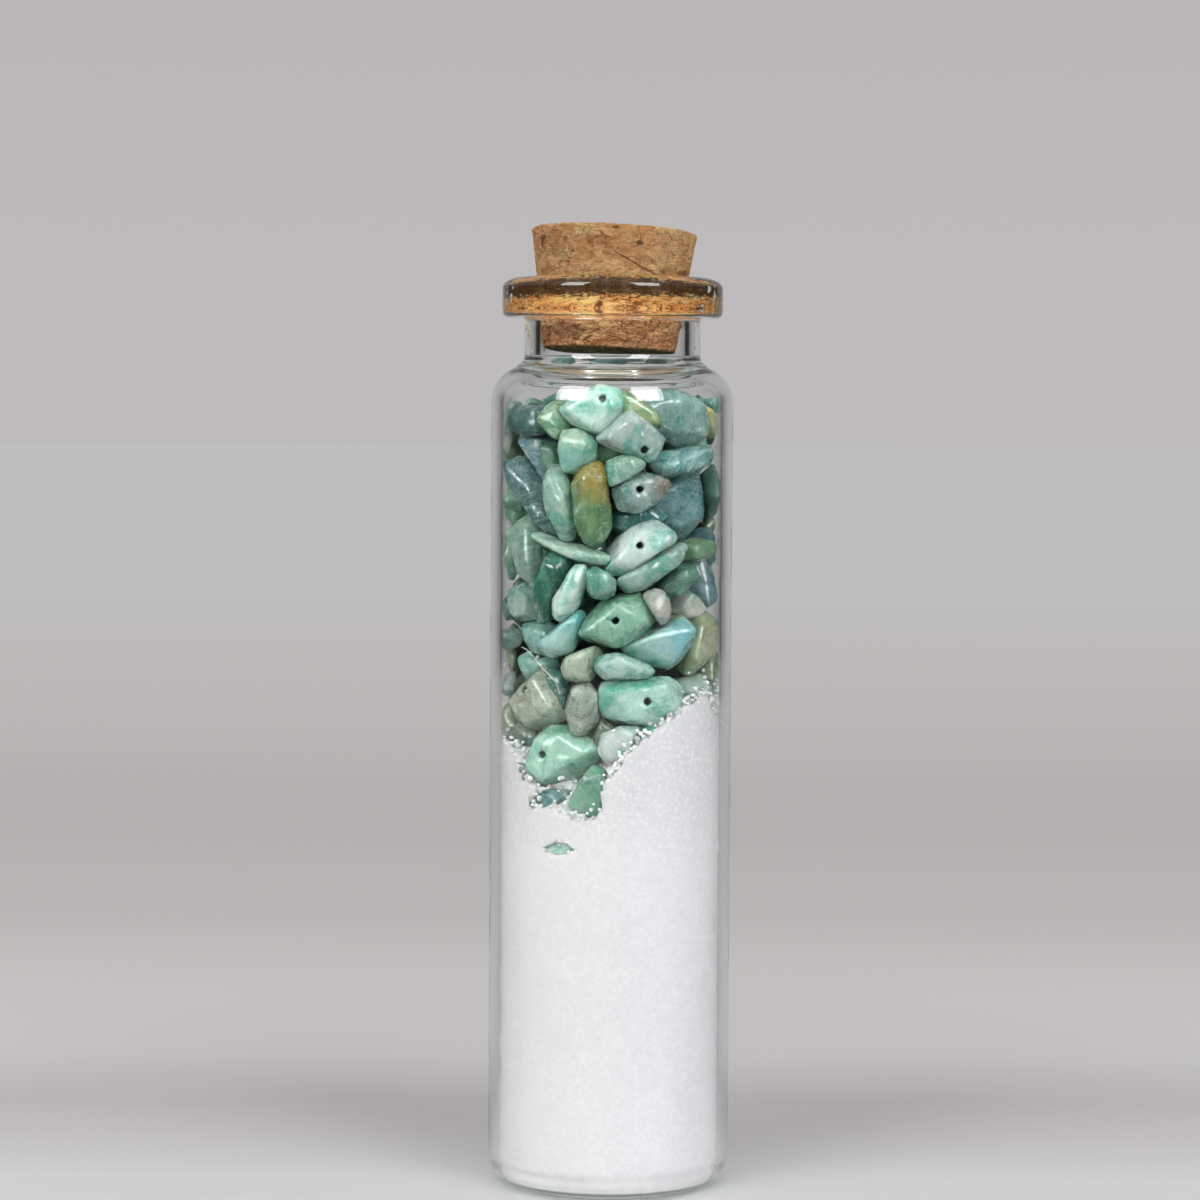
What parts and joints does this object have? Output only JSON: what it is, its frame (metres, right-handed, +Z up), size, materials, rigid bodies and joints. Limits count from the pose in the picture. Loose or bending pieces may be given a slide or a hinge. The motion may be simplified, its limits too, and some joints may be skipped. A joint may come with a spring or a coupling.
{
  "type": "corked glass intention jar",
  "caption": "Corked clear glass vial, part filled with white sand and topped up with drilled, tumbled green stone chips.",
  "frame": {"origin": "centre of the base, on the surface that the vial stands on", "axes": "+Z up along the vial's axis, -Y towards the viewer of the picture, +X to their right"},
  "size_m": [0.022, 0.022, 0.0871],
  "materials": {
    "clear_glass": "clear, fire polished",
    "cork": "agglomerated cork, cut and sanded",
    "white_sand": "loose glassy grains",
    "stone_mint": "mint green amazonite, tumbled",
    "stone_pale": "pale mint amazonite, tumbled",
    "stone_aqua": "pale turquoise amazonite, tumbled",
    "stone_leaf": "leaf green amazonite, tumbled",
    "stone_teal": "deep teal amazonite, tumbled",
    "stone_slate": "slate blue amazonite, tumbled",
    "stone_grey": "grey green amazonite, tumbled",
    "stone_khaki": "khaki amazonite, tumbled",
    "stone_olive": "olive amazonite, tumbled"
  },
  "bodies": {
    "jar": {"bottle": "clear_glass", "sand_fill": "white_sand", "chip_pale_top": "stone_pale", "chip_kite": "stone_grey", "chip_cream_block": "stone_pale", "chip_aqua_bar_right": "stone_aqua", "chip_aqua_long": "stone_aqua", "chip_olive_pill": "stone_leaf", "chip_holed_grey": "stone_grey", "chip_white_oval": "stone_pale", "chip_pale_sliver": "stone_mint", "chip_white_pill": "stone_pale", "chip_grey_green_bar": "stone_leaf", "chip_olive_right": "stone_olive", "chip_green_facet": "stone_mint", "chip_pale_triangle": "stone_aqua", "chip_aqua_hook": "stone_aqua", "chip_beige_wedge": "stone_khaki", "chip_mint_lens": "stone_mint", "chip_mint_brick": "stone_mint", "chip_khaki_triangle": "stone_khaki", "chip_grey_oval": "stone_khaki", "chip_mint_heart": "stone_mint", "chip_green_sunk": "stone_leaf", "chip_blue_sunk": "stone_slate", "chip_buried_sliver": "stone_mint", "chip_slate_sliver": "stone_slate", "chip_green_right_low": "stone_leaf", "chip_speckled": "stone_leaf", "chip_mint_diagonal": "stone_mint", "chip_blue_round": "stone_slate", "chip_slate_left": "stone_slate", "chip_slate_round": "stone_slate", "chip_mint_cube": "stone_mint", "chip_deep_teal": "stone_teal", "chip_dark_right": "stone_teal", "chip_rose_grey": "stone_grey", "chip_straw_right": "stone_khaki", "chip_teal_left_high": "stone_aqua", "chip_teal_left_low": "stone_aqua", "chip_dark_top_left": "stone_teal", "chip_grey_left": "stone_grey", "chip_back_01": "stone_aqua", "chip_back_02": "stone_mint", "chip_back_03": "stone_khaki", "chip_back_04": "stone_slate", "chip_back_05": "stone_pale", "chip_back_06": "stone_leaf", "chip_back_07": "stone_teal", "chip_back_08": "stone_mint", "chip_back_09": "stone_aqua", "chip_back_10": "stone_grey", "chip_back_11": "stone_leaf", "chip_back_12": "stone_slate", "chip_back_13": "stone_pale", "chip_core_01": "stone_olive", "chip_core_02": "stone_teal", "chip_core_03": "stone_leaf", "chip_core_04": "stone_khaki"},
    "cork": {"cork_stopper": "cork"}
  },
  "joints": [
    {"name": "cork_pull", "type": "slide", "parent": "jar", "child": "cork", "axis": [0, 0, 1], "range_m": [0, 0.022]}
  ]
}
